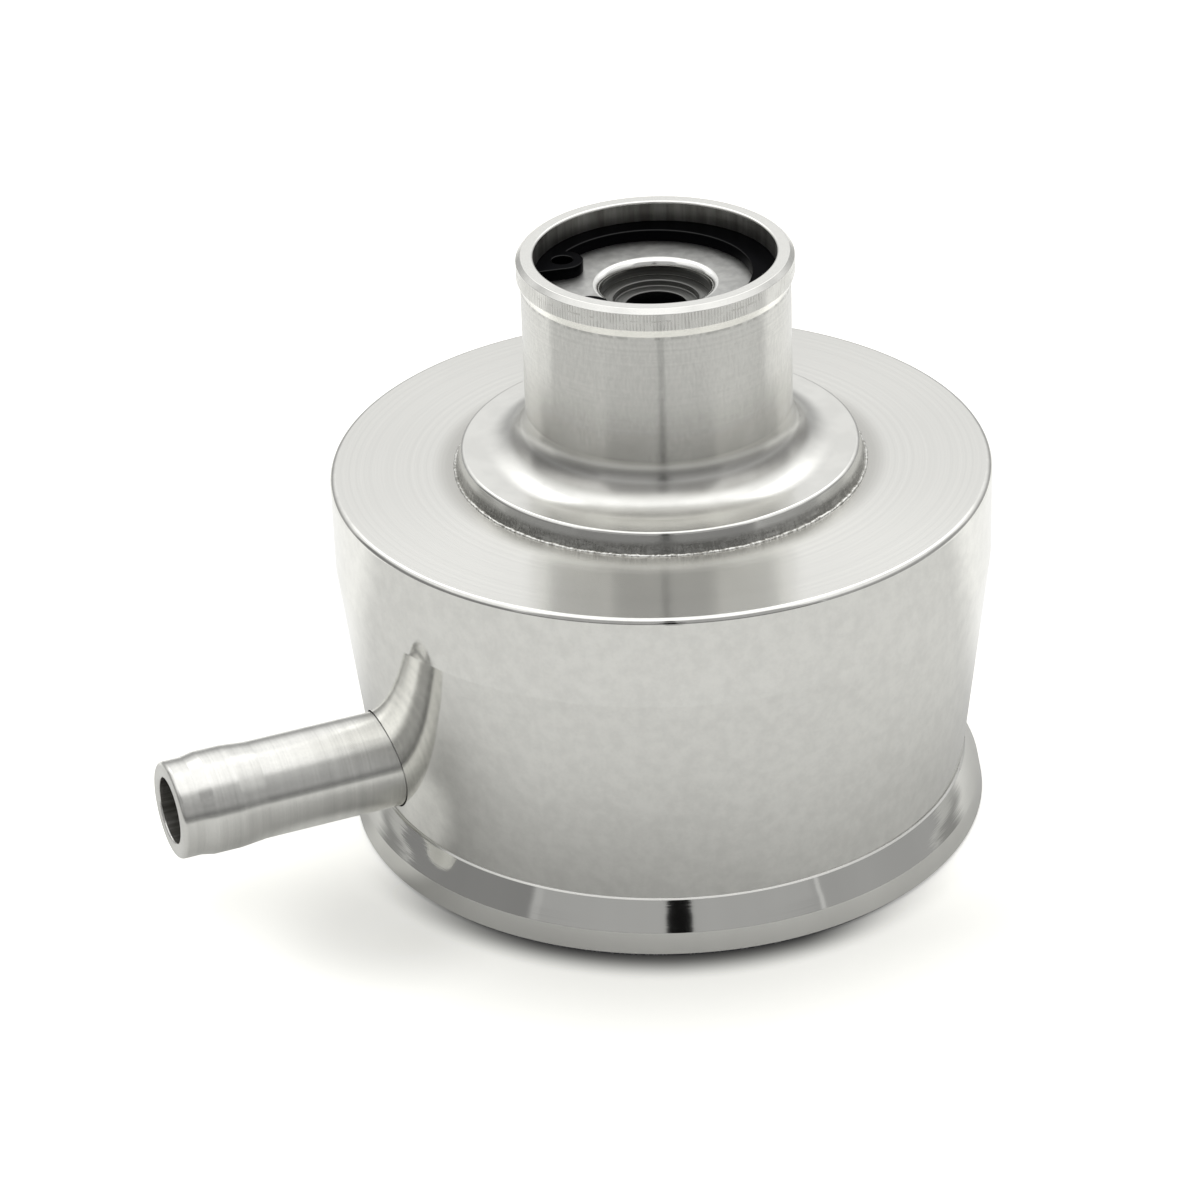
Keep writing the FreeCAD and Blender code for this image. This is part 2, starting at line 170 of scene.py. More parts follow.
class PlungerSizes(bpy.types.PropertyGroup):
    """Turned outline of the valve's plunger"""

    bleed_r: length("Bleed radius", "Radius of the bleed hole in the tip", 0.6 * MM)
    tip_r: length("Tip radius", "Radius at the tip of the metering taper", 2.4 * MM)
    root_r: length("Root radius", "Radius at the root of the metering taper", 3.45 * MM)
    root_h: length("Root height", "Height of the taper's root over the web", 5.05 * MM)
    stem_r: length("Stem radius", "Radius of the stem inside the spring", 4.4 * MM)
    head_t: length("Head thickness", "Thickness of the flange over the spring", 1.4 * MM)
    step_r: length("Step radius", "Radius of the shallow step in the top", 4.05 * MM)
    step_t: length("Step depth", "Depth of the step", 0.6 * MM)
    hollow_r: length("Hollow radius", "Radius of the hollow", 2.9 * MM)
    hollow_t: length("Hollow depth", "Depth of the hollow under the top", 9.0 * MM)


class RingSizes(bpy.types.PropertyGroup):
    """Outline of the snap ring"""

    outer_r: length("Outer radius", "Radius in the groove", 12.0 * MM)
    inner_r: length("Inner radius", "Radius of the open middle", 9.6 * MM)
    shift: length("Shift", "How far the middle lies towards the gap", 0.45 * MM)
    gap: length("Gap", "Width of the gap", 6.6 * MM)
    turn: angle("Turn", "Direction of the gap from the X axis", 171.0)
    lug_r: length("Lug radius", "Radius of a plier lug", 2.0 * MM)
    hole_r: length("Lug hole", "Radius of a plier hole", 1.0 * MM)
    lug_reach: length("Lug reach", "Plier holes from the ring's centre", 9.4 * MM)
    lug_angle: angle("Lug angle", "Half the angle between the plier holes", 34.0)


class SpringSizes(bpy.types.PropertyGroup):
    """Winding of the plunger's spring"""

    radius: length("Coil radius", "Radius to the middle of the wire", 6.7 * MM)
    wire_r: length("Wire radius", "Radius of the wire", 0.3 * MM)
    open_coils: bpy.props.IntProperty(
        name="Open coils", description="Coils between the two closed ends", default=5, min=1
    )
    closed_rise: length("Closed rise", "Rise of a closed end coil", 0.65 * MM)


class FinishSettings(bpy.types.PropertyGroup):
    """Colours and gloss of the metals"""

    aluminium: tint("Aluminium", "Bare aluminium", (0.868, 0.864, 0.828))
    # Dark colour for dirt in the tool's marks, also used as painted shade next to the boss, in the hollow
    # and inside the bores.
    stain_and_shade: tint("Stain", "Dirt left in the marks of the tool", (0.40, 0.39, 0.36))
    zinc: tint("Zinc", "Bright zinc plate", (0.80, 0.80, 0.775))
    black: tint("Black steel", "Phosphated and oiled steel", (0.005, 0.005, 0.006))
    steel: tint("Steel", "Plain turned steel", (0.26, 0.26, 0.25))
    # The cut colour is painted shade: the chamfer's reflection of the paper in the foot's own shadow.
    cut: tint("Cut", "Base chamfer as the tool left it", (0.10, 0.10, 0.14))
    chatter: tint("Chatter", "Bright chatter marks on the base chamfer", (0.62, 0.62, 0.66))
    polish: share("Polish", "Roughness of the polished wall", 0.05)
    satin: share("Satin", "Roughness of the turned shoulder", 0.185)


class StageSettings(bpy.types.PropertyGroup):
    """Camera, floor and light tent"""

    turn: angle("Camera turn", "Turn of the camera from the front", -23.1)
    rise: angle("Camera rise", "Height of the camera over the floor", 29.15)
    roll: angle("Camera roll", "Lean of the picture", 1.58)
    distance: length("Camera distance", "Camera to the point that it turns about", 431.0 * MM)
    aim_h: length("Aim height", "Height of that point over the floor", 20.4 * MM)
    focal: bpy.props.FloatProperty(
        name="Focal length", description="Lens length on a 36 mm frame", default=131.2, subtype="NONE"
    )
    floor_size: length("Floor", "Side of the floor", 6.0)
    paper: share("Paper", "How much light the floor gives back", 0.93)
    glow: share("Glow", "How much brighter the floor is to the camera", 0.52)
    gap_turn: angle("Tent gap", "Direction of the tent's opening from the camera", 2.6)
    gap_rise: angle("Tent gap rise", "Height of the widest part of the opening", 19.5)


class Skin:
    """A mesh with its true normal at every corner of every face."""

    def __init__(self):
        self.spots = {}
        self.faces = []
        self.normals = []
        self.finishes = []

    def spot(self, point):
        """The number of the vertex at a point, the same for every face that meets there."""
        key = tuple(round(part * 1e8) for part in point)
        return self.spots.setdefault(key, (len(self.spots), tuple(point)))[0]

    def face(self, corners, finish=0):
        """Add a face from (point, normal) corners, turned so that it looks along its normals."""
        kept = []
        for point, normal in corners:
            number = self.spot(point)
            if all(number != other[0] for other in kept):
                kept.append((number, point, normal))
        if len(kept) < 3:
            return
        middle = sum((normal for _, _, normal in kept), Vector())
        edges = (kept[1][1] - kept[0][1]).cross(kept[2][1] - kept[0][1])
        if edges.dot(middle) < 0:
            kept.reverse()
        self.faces.append([number for number, _, _ in kept])
        self.normals += [normal for _, _, normal in kept]
        self.finishes.append(finish)

    def band(self, ring, following, finish=0):
        """Join two closed rings of (point, normal) corners by a row of faces."""
        count = len(ring)
        for k in range(count):
            after = (k + 1) % count
            self.face([ring[k], ring[after], following[after], following[k]], finish)

    def make(self, name, settings, *looks):
        """The finished object, in the scene, with a material for each of its looks."""
        mesh = bpy.data.meshes.new(name)
        points = [point for _, point in sorted(self.spots.values())]
        mesh.from_pydata(points, [], self.faces)
        mesh.polygons.foreach_set("use_smooth", [True] * len(self.faces))
        mesh.polygons.foreach_set("material_index", self.finishes)
        mesh.normals_split_custom_set(self.normals)
        for look in looks:
            mesh.materials.append(look(settings))
        piece = bpy.data.objects.new(name, mesh)
        bpy.context.scene.collection.objects.link(piece)
        return piece


def rounded(corners, steps=6):
    """Spans of a closed outline: ((r, z, normal), (r, z, normal), finish) from (r, z, round, finish).

    The outline runs with the metal on its left. A corner's finish is that of the side after it.
    """
    count = len(corners)
    places = [Vector(corner[:2]) for corner in corners]
    sides = [(places[(k + 1) % count] - places[k]).normalized() for k in range(count)]
    spans = []
    ends = []
    for k in range(count):
        before, after = sides[k - 1], sides[k]
        turn = math.atan2(before.x * after.y - before.y * after.x, before.dot(after))
        radius = corners[k][2]
        cut = radius * math.tan(abs(turn) / 2)
        ends.append((places[k] - before * cut, places[k] + after * cut, turn, radius))
    for k in range(count):
        start, stop, turn, radius = ends[k]
        finish = corners[k][3]
        first = math.atan2(-sides[k - 1].x, sides[k - 1].y)
        if radius:
            sign = math.copysign(1, turn)
            middle = start - Vector((math.cos(first), math.sin(first))) * radius * sign
            ring = []
            parts = max(2, round(steps * abs(turn)))
            for part in range(parts + 1):
                heading = first + turn * part / parts
                out = Vector((math.cos(heading), math.sin(heading)))
                place = middle + out * radius * sign
                ring.append((place, out))
            ring[0] = (start, ring[0][1])
            ring[-1] = (stop, ring[-1][1])
            arc_finish = corners[k][4] if len(corners[k]) > 4 else finish
            spans += [(one, two, arc_finish) for one, two in zip(ring, ring[1:])]
        out = Vector((sides[k].y, -sides[k].x))
        next_start = ends[(k + 1) % count][0]
        if (next_start - stop).length > 1e-9:
            spans.append(((stop, out), (next_start, out), finish))
    return spans


def circle(count):
    """Equal steps of a full turn."""
    return [2 * math.pi * k / count for k in range(count)]


def towards(turn):
    """The level direction at a turn round the Z axis."""
    return Vector((math.cos(turn), math.sin(turn), 0))


def wheel(place, out, segments=SEGMENTS):
    """A ring of corners about the Z axis."""
    spokes = [towards(turn) for turn in circle(segments)]
    return [(spoke * place.x + UP * place.y, spoke * out.x + UP * out.y) for spoke in spokes]


def revolve(skin, spans, segments=SEGMENTS):
    """Turn spans of an outline about the Z axis."""
    for (place, out), (next_place, next_out), finish in spans:
        skin.band(wheel(place, out, segments), wheel(next_place, next_out, segments), finish)


def pierce(skin, span, z_low, z_high, hole_z, hole_r, half=18, rows=16):
    """Turn a straight span with a round hole along X through it on its -X side.

    The wall has a grid of faces. Near the hole a patch of rings runs from the grid to the hole's
    edge, whose points are returned in order.
    """
    (low, out), (high, _), finish = span
    if low.y > high.y:
        low, high = high, low
    slope = (high.x - low.x) / (high.y - low.y)

    def radius(z):
        return low.x + slope * (z - low.y)

    def corner(turn, z):
        spoke = towards(turn)
        return spoke * radius(z) + UP * z, spoke * out.x + UP * out.y

    heights = [low.y] + [z_low + (z_high - z_low) * k / rows for k in range(rows + 1)] + [high.y]
    grid = [[corner(turn, z) for turn in circle(SEGMENTS)] for z in heights]
    middle = SEGMENTS // 2
    for row in range(len(heights) - 1):
        for k in range(SEGMENTS):
            inside = middle - half <= k < middle + half
            if inside and 1 <= row <= rows:
                continue
            after = (k + 1) % SEGMENTS
            skin.face([grid[row][k], grid[row][after], grid[row + 1][after], grid[row + 1][k]], finish)
    left, right, top = middle - half, middle + half, rows + 1
    edge = [grid[1][k] for k in range(left, right)]
    edge += [grid[row][right] for row in range(1, top)]
    edge += [grid[top][k] for k in range(right, left, -1)]
    edge += [grid[row][left] for row in range(top, 1, -1)]
    rings = [edge]
    for step in (0.7, 0.45, 0.2, 0.0):
        ring = []
        for point, _ in edge:
            heading = Vector((point.y, point.z - hole_z))
            start = heading.normalized() * hole_r
            place = start.lerp(heading, step)
            z = hole_z + place.y
            depth = math.sqrt(radius(z) ** 2 - place.x ** 2)
            turn = math.atan2(place.x, -depth)
            ring.append(corner(turn, z))
        rings.append(ring)
    for ring, following in zip(rings, rings[1:]):
        skin.band(ring, following, finish)
    return [point for point, _ in rings[-1]]


class Signal:
    """A node's output; Python's arithmetic on it adds Math nodes."""

    def __init__(self, tree, socket):
        self.tree = tree
        self.socket = socket

    def maths(self, operation, *values):
        names = dict(enumerate(values))
        return self.tree.node("ShaderNodeMath", {"operation": operation}, names)

    def __add__(self, other):
        return self.maths("ADD", self, other)

    def __radd__(self, other):
        return self.maths("ADD", other, self)

    def __sub__(self, other):
        return self.maths("SUBTRACT", self, other)

    def __rsub__(self, other):
        return self.maths("SUBTRACT", other, self)

    def __mul__(self, other):
        return self.maths("MULTIPLY", self, other)

    def __rmul__(self, other):
        return self.maths("MULTIPLY", other, self)

    def __truediv__(self, other):
        return self.maths("DIVIDE", self, other)

    def __pow__(self, other):
        return self.maths("POWER", self, other)

    def __abs__(self):
        return self.maths("ABSOLUTE", self)


class Tree:
    """The nodes of a material or of the world."""

    def __init__(self, owner):
        owner.use_nodes = True
        self.nodes = owner.node_tree.nodes
        self.links = owner.node_tree.links
        self.nodes.clear()

    def node(self, kind, settings=None, sockets=None, output=0):
        """Add a node: its settings first, then the values or links of its sockets."""
        made = self.nodes.new(kind)
        for name, setting in (settings or {}).items():
            setattr(made, name, setting)
        for name, feed in (sockets or {}).items():
            if isinstance(feed, Signal):
                self.links.new(feed.socket, made.inputs[name])
            else:
                made.inputs[name].default_value = feed
        if not made.outputs:
            return None
        return Signal(self, made.outputs[output])

    def place(self):
        """Coordinates in the frame's own metres."""
        return self.node("ShaderNodeTexCoord", output="Object")

    def parts(self, vector):
        """The three parts of a vector."""
        split = self.node("ShaderNodeSeparateXYZ", None, {0: vector})
        return [Signal(self, socket) for socket in split.socket.node.outputs]

    def vector(self, x, y, z):
        """A vector from three numbers."""
        return self.node("ShaderNodeCombineXYZ", None, {0: x, 1: y, 2: z})

    def ramp(self, value, low, high, start=0.0, end=1.0):
        """A smooth step from start at low to end at high."""
        return self.node(
            "ShaderNodeMapRange",
            {"interpolation_type": "SMOOTHSTEP"},
            {"Value": value, "From Min": low, "From Max": high, "To Min": start, "To Max": end},
        )

    def noise(self, vector, scale, detail=2.0, roughness=0.5):
        """Cloudy noise about 0.5."""
        sockets = {"Vector": vector, "Scale": scale, "Detail": detail, "Roughness": roughness}
        return self.node("ShaderNodeTexNoise", None, sockets)

    def rings(self, place, *grain):
        """Noise that changes along one number only."""
        return self.noise(self.vector(place, 0.0, 0.0), *grain)

    def blend(self, factor, first, second):
        """A colour between two, each an RGB triple or a link."""
        node = self.nodes.new("ShaderNodeMix")
        node.data_type = "RGBA"
        for socket, feed in ((node.inputs[0], factor), (node.inputs[6], first), (node.inputs[7], second)):
            if isinstance(feed, Signal):
                self.links.new(feed.socket, socket)
            elif isinstance(feed, (int, float)):
                socket.default_value = feed
            else:
                socket.default_value = (*feed, 1.0)
        return Signal(self, node.outputs[2])


def lathe(tree):
    """Height along a turned piece's axis, distance from it, and noise by the direction round it."""
    x, y, z = tree.parts(tree.place())
    reach = (x * x + y * y) ** 0.5
    across, along = x / reach, y / reach

    def marks(rise, *grain):
        return tree.noise(tree.vector(across, along, rise), *grain)

    return z, reach, marks


def shade(colour, part):
    """A colour made darker by a part of itself, or lighter by more than one."""
    return tuple(part * channel for channel in colour)


def shades(colour, first, second):
    """Two shades of a colour."""
    return shade(colour, first), shade(colour, second)


def metal(anisotropic=0.0, grazing=1.0):
    """Turn a look into a function that makes its material, of the same name.

    A look gives colour, roughness, bump height and bump depth. Turning marks spread a reflection
    across themselves, so the turn of the anisotropy is a quarter. Grazing is how white the metal
    turns when it is seen along its surface.
    """
    def of_look(look):
        def made(finish):
            material = bpy.data.materials.new(look.__name__)
            tree = Tree(material)
            colour, roughness, height, depth = look(tree, finish)
            bump = tree.node("ShaderNodeBump", None, {"Height": height, "Distance": depth})
            shader = tree.node("ShaderNodeBsdfPrincipled", None, {
                "Base Color": colour,
                "Roughness": roughness,
                "Metallic": 1.0,
                "Anisotropic": anisotropic,
                "Anisotropic Rotation": 0.25,
                "Specular Tint": (grazing, grazing, grazing, 1.0),
                "Normal": bump,
            })
            tree.node("ShaderNodeOutputMaterial", None, {"Surface": shader})
            return material

        return made

    return of_look


@metal()
def polished_wall(tree, finish):
    """Buffed billet: nearly a mirror, a little hazy, with a soft ripple."""
    ripple = tree.noise(tree.place(), 130.0, 2.0)
    haze = tree.noise(tree.place(), 640.0, 5.0, 0.7)
    colour = tree.blend(tree.ramp(haze, 0.3, 0.7), *shades(finish.aluminium, 0.93, 1.03))
    roughness = finish.polish + 0.08 * tree.ramp(haze, 0.4, 0.75)
    return colour, roughness, ripple + 0.04 * haze, 12.0 * MICRON


@metal()
def turned_foot(tree, finish):
    """Flared foot: polished over turning rings that still show."""
    z, _, marks = lathe(tree)
    rings = tree.rings(z, 3600.0, 2.0, 0.7)
    wander = marks(0.0, 5.0, 2.0)
    colour = tree.blend(tree.ramp(wander, 0.3, 0.7), *shades(finish.aluminium, 0.95, 1.0))
    return colour, finish.polish + 0.03 * wander, rings, 4.5 * MICRON


@metal()
def buffed_ledge(tree, finish):
    """Narrow ledge over the bevel, where the buff has rounded and dulled it."""
    haze = tree.noise(tree.place(), 600.0, 3.0)
    colour = tree.blend(haze, *shades(finish.aluminium, 0.66, 0.78))
    return colour, 0.24 + 0.1 * haze, haze, 1.0 * MICRON


@metal()
def shaded_cut_chamfer(tree, finish):
    """Base chamfer and underside's edge: left as cut, with short bright chatter marks, and dark with
    painted shade.
    """
    _, _, marks = lathe(tree)
    chatter = marks(0.0, 90.0, 2.0, 0.7)
    # Painted shade: the chamfer's dark blue-grey stands for the paper's reflection in the foot's own
    # shadow; the bright chatter marks are the tool's.
    colour = tree.blend(tree.ramp(chatter, 0.5, 0.62), finish.cut, finish.chatter)
    return colour, 0.22 + 0.1 * chatter, chatter, 1.0 * MICRON


@metal(anisotropic=1.0)
def turned_shoulder(tree, finish):
    """Fine turned face: most grooves too fine to see, a few that are seen, with painted shade next to the
    boss.
    """
    _, reach, marks = lathe(tree)
    fine = tree.rings(reach, 2400.0, 3.0, 0.7)
    broad = tree.rings(reach, 700.0, 2.0)
    cloud = marks(reach * 60.0, 4.0, 2.0)
    darker, lighter = shades(finish.aluminium, 0.94, 1.02)
    colour = tree.blend(tree.ramp(fine, 0.3, 0.7), darker, lighter)
    colour = tree.blend(0.5 * cloud, colour, darker)
    # Painted shade: the shoulder is darkened next to the boss, in place of the boss side's dark
    # reflection.
    near = 1 - tree.ramp(reach, 20.2 * MM, 22.5 * MM)
    colour = tree.blend(0.52 * near, colour, finish.stain_and_shade)
    return colour, finish.satin - 0.015 + 0.03 * broad, fine, 0.6 * MICRON


@metal(anisotropic=0.97)
def turned_neck(tree, finish):
    """Fine turned neck with light marks up and down it, dull near the boss and dirty under the bead."""
    z, _, marks = lathe(tree)
    upright = marks(z * 18.0, 64.0, 3.0, 0.7)
    rings = tree.rings(z, 3600.0, 4.0, 0.8)
    zones = marks(z * 5.0, 3.2, 2.0)
    patch = marks(z * 90.0, 2.5, 3.0)
    low, corner = BODY_HIGH.z, NECK_HIGH.z - 3.02 * MM
    lively = 0.46 * tree.ramp(upright, 0.3, 0.7) + 0.40 * tree.ramp(rings, 0.3, 0.7)
    lively = tree.ramp(lively + 0.14 * tree.ramp(zones, 0.35, 0.65), 0.15, 0.85)
    colour = tree.blend(lively, *shades(finish.aluminium, 0.75, 0.90))
    dull = 1 - tree.ramp(z + 4.0 * MM * patch, low + 7.5 * MM, low + 15.5 * MM)
    dull = dull * tree.ramp(z, low + 3.2 * MM, low + 5.2 * MM)
    smudge = tree.ramp(patch * (0.6 + 0.8 * upright), 0.42, 0.66)
    colour = tree.blend(dull * (0.36 + 0.3 * smudge), colour, finish.stain_and_shade)
    dirt = 1 - tree.ramp(abs(z - corner), 0.10 * MM, 0.22 * MM)
    broken = tree.ramp(marks(z * 40.0, 22.0, 3.0), 0.45, 0.55)
    colour = tree.blend(0.32 * dirt * broken, colour, shade(finish.stain_and_shade, 0.6))
    return colour, 0.18 + 0.05 * upright, rings + 0.5 * upright, 0.6 * MICRON


@metal(anisotropic=0.8)
def chattered_bead(tree, finish):
    """Bead round the rim: short upright marks where the tool chattered, with dirt in them."""
    z, _, marks = lathe(tree)
    x, y, _ = tree.parts(tree.place())
    uneven = marks(z * 20.0, 9.0, 3.0, 0.6)
    patch = marks(z * 60.0, 5.0, 3.0, 0.7)
    beat = 260.0 * x.maths("ARCTAN2", y, x) + 9.0 * uneven
    chatter = 0.5 + 0.5 * beat.maths("SINE", beat)
    groove = 1 - tree.ramp(abs(z - NECK_HIGH.z + (0.9 * MM + 0.5 * MM * patch)), 0.05 * MM, 0.14 * MM)
    dirt = tree.ramp(chatter, 0.3, 1.0) * tree.ramp(patch, 0.36, 0.62)
    dirt = dirt.maths("MAXIMUM", dirt, 0.8 * groove * tree.ramp(uneven, 0.50, 0.60))
    dusty = tree.blend(tree.ramp(uneven, 0.3, 0.7), *shades(finish.aluminium, 0.86, 0.95))
    colour = tree.blend(0.40 * dirt, dusty, shade(finish.stain_and_shade, 0.9))
    return colour, 0.24 + 0.10 * dirt, chatter, -0.6 * MICRON


@metal(anisotropic=0.3)
def faced_rim_highlight(tree, finish):
    """Rim: faced and broken by hand, so dull; its white, lighter than the aluminium, is a painted
    highlight.
    """
    _, reach, _ = lathe(tree)
    grain = tree.noise(tree.place(), 2600.0, 2.0, 0.6)
    rings = tree.rings(reach, 5000.0, 2.0)
    # Painted highlight: the rim's colour is lighter than the aluminium.
    colour = tree.blend(grain, *shades(finish.aluminium, 1.02, 1.14))
    return colour, 0.18 + 0.08 * grain, rings + 0.5 * grain, 0.3 * MICRON


@metal(anisotropic=0.5)
def turned_boss(tree, finish):
    """Hollow and top of the boss: turned smooth, with painted shade in a band across the hollow and where
    it meets the neck.
    """
    z, reach, marks = lathe(tree)
    rings = tree.rings(reach + z, 4500.0, 3.0, 0.6)
    patch = marks(reach * 80.0, 5.0, 3.0)
    colour = tree.blend(tree.ramp(patch, 0.35, 0.65), *shades(finish.aluminium, 0.94, 1.0))
    low = BODY_HIGH.z
    # Painted shade: a band across the hollow and the part by the neck are darkened, standing in for the
    # hollow's dark reflections.
    hollow_band_shade = tree.ramp(z, low + 2.7 * MM, low + 3.3 * MM)
    hollow_band_shade = 0.56 * hollow_band_shade * (1 - tree.ramp(z, low + 3.9 * MM, low + 4.5 * MM))
    dull = hollow_band_shade.maths("MAXIMUM", hollow_band_shade, 0.44 * tree.ramp(z, low + 4.0 * MM, low + 4.8 * MM))
    colour = tree.blend(dull * tree.ramp(patch, 0.2, 0.8, 0.75, 1.25), colour, finish.stain_and_shade)
    return colour, 0.20 + 0.05 * rings, rings, 0.5 * MICRON


@metal(anisotropic=0.4)
def boss_side(tree, finish):
    """Side of the boss: chattered, with dark dirt that the buffing left."""
    z, _, marks = lathe(tree)
    chatter = marks(z * 15.0, 90.0, 3.0, 0.8)
    patch = marks(z * 250.0, 7.0, 4.0, 0.7)
    low = BODY_HIGH.z
    deep = 1 - tree.ramp(z + 0.6 * MM * (patch - 0.5), low + 0.9 * MM, low + 1.5 * MM)
    dirt = deep * tree.ramp(0.45 * chatter + 0.55 * patch, 0.34, 0.60, 0.35, 1.0)
    colour = tree.blend(0.80 * dirt, finish.aluminium, shade(finish.stain_and_shade, 0.5))
    return colour, 0.17 + 0.12 * dirt, chatter, -1.2 * MICRON


@metal()
def torn_burr(tree, finish):
    """Burr round the mouth: torn metal with dirt between its bright edges."""
    grain = tree.noise(tree.place(), 2600.0, 3.0, 0.7)
    bright = tree.ramp(grain, 0.36, 0.60)
    colour = tree.blend(bright, shade(finish.stain_and_shade, 0.95), shade(finish.aluminium, 1.08))
    return colour, 0.24 + 0.1 * grain, grain, 2.0 * MICRON


@metal()
def shaded_bored_inside(tree, finish):
    """Inside faces: bored and left as cut, with upright streaks, and darker than the outside with painted
    shade.
    """
    z, reach, marks = lathe(tree)
    streaks = tree.ramp(marks(z * 8.0, 9.0, 4.0, 0.6), 0.3, 0.75)
    rings = tree.rings(z + reach, 5000.0, 3.0, 0.7)
    # Painted shade: the whole inside is a darker copy of the aluminium; the streaks are the tool's.
    colour = tree.blend(streaks, shade(finish.stain_and_shade, 0.7), shade(finish.aluminium, 0.62))
    return colour, 0.34 + 0.1 * rings, rings, 1.0 * MICRON


@metal(anisotropic=0.9)
def turned_nipple(tree, finish):
    """Lathe rings round the nipple, with light marks along it."""
    z, reach, marks = lathe(tree)
    rings = tree.rings(z + reach, 5200.0, 4.0, 0.75)
    broad = tree.rings(z + reach, 700.0, 3.0, 0.6)
    lively = 0.40 * tree.ramp(rings, 0.3, 0.7) + 0.40 * tree.ramp(broad, 0.35, 0.65)
    lively = lively + 0.20 * tree.ramp(marks(z * 90.0, 24.0, 3.0, 0.7), 0.3, 0.7)
    colour = tree.blend(lively, *shades(finish.aluminium, 0.83, 1.06))
    return colour, 0.20 + 0.08 * rings, rings, 0.8 * MICRON


@metal()
def zinc_plate(tree, finish):
    """Bright zinc over steel, blotched, with painted shade towards the disc's edge."""
    _, reach, _ = lathe(tree)
    blotch = tree.noise(tree.place(), 900.0, 3.0, 0.55)
    zinc = tree.blend(tree.ramp(blotch, 0.3, 0.7), *shades(finish.zinc, 0.62, 0.78))
    # Painted shade: darker towards the disc's edge, under the snap ring and the bore's wall.
    outer = tree.ramp(reach, 6.2 * MM, 10.5 * MM)
    colour = tree.blend(0.50 * outer, zinc, shade(finish.zinc, 0.40))
    return colour, 0.36 + 0.08 * blotch, blotch, 0.6 * MICRON


@metal()
def rolled_zinc_highlight(tree, finish):
    """Rolled edge of the disc's hole, burnished by the tool, and lighter than the zinc as a painted
    highlight.
    """
    grain = tree.noise(tree.place(), 2500.0, 3.0, 0.6)
    # Painted highlight: the roll is lighter than the zinc, partly as burnished metal.
    colour = tree.blend(grain, *shades(finish.zinc, 1.10, 1.25))
    return colour, 0.12 + 0.06 * grain, grain, 1.5 * MICRON


@metal(grazing=0.55)
def black_spring_steel(tree, finish):
    """Phosphated spring steel, oiled, with a painted highlight on its rounded edges that face up."""
    grain = tree.noise(tree.place(), 3500.0, 3.0, 0.6)
    _, _, up = tree.parts(tree.node("ShaderNodeNewGeometry", output="True Normal"))
    # Painted highlight on the rounded edges that face up.
    edge_highlight = tree.ramp(up, 0.15, 0.4) * (1 - tree.ramp(up, 0.75, 0.95))
    colour = tree.blend(grain, *shades(finish.black, 0.5, 1.6))
    colour = tree.blend(0.16 * edge_highlight, colour, finish.steel)
    return colour, 0.26 + 0.12 * grain, grain, 4.0 * MICRON


@metal()
def plain_steel(tree, finish):
    """Turned steel with an oil film, and painted shade that darkens the plunger's step and hollow the
    deeper they lie.
    """
    z, reach, _ = lathe(tree)
    rings = tree.rings(z + reach, 4500.0, 3.0, 0.7)
    # Painted shade: the step and hollow of the plunger darken the deeper they lie.
    deep = 1 - tree.ramp(z, PLUNGER_HIGH.z - 2.5 * MM, PLUNGER_HIGH.z - 0.4 * MM)
    outer = tree.ramp(reach, 3.4 * MM, 4.2 * MM)
    colour = tree.blend(tree.ramp(rings, 0.3, 0.7), *shades(finish.steel, 0.6, 1.0))
    colour = tree.blend(deep * (1 - outer), colour, shade(finish.steel, 0.12))
    return colour, 0.26 + 0.12 * rings, rings, 3.0 * MICRON


@metal()
def drawn_wire(tree, finish):
    """Drawn spring wire."""
    grain = tree.noise(tree.place(), 5000.0, 2.0)
    colour = tree.blend(grain, *shades(finish.steel, 0.9, 1.3))
    return colour, 0.25 + 0.1 * grain, grain, 2.0 * MICRON


def fit(piece, node, body="housing"):
    """Let a piece stand for its node, on the node's body."""
    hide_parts(node)
    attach(piece, body)


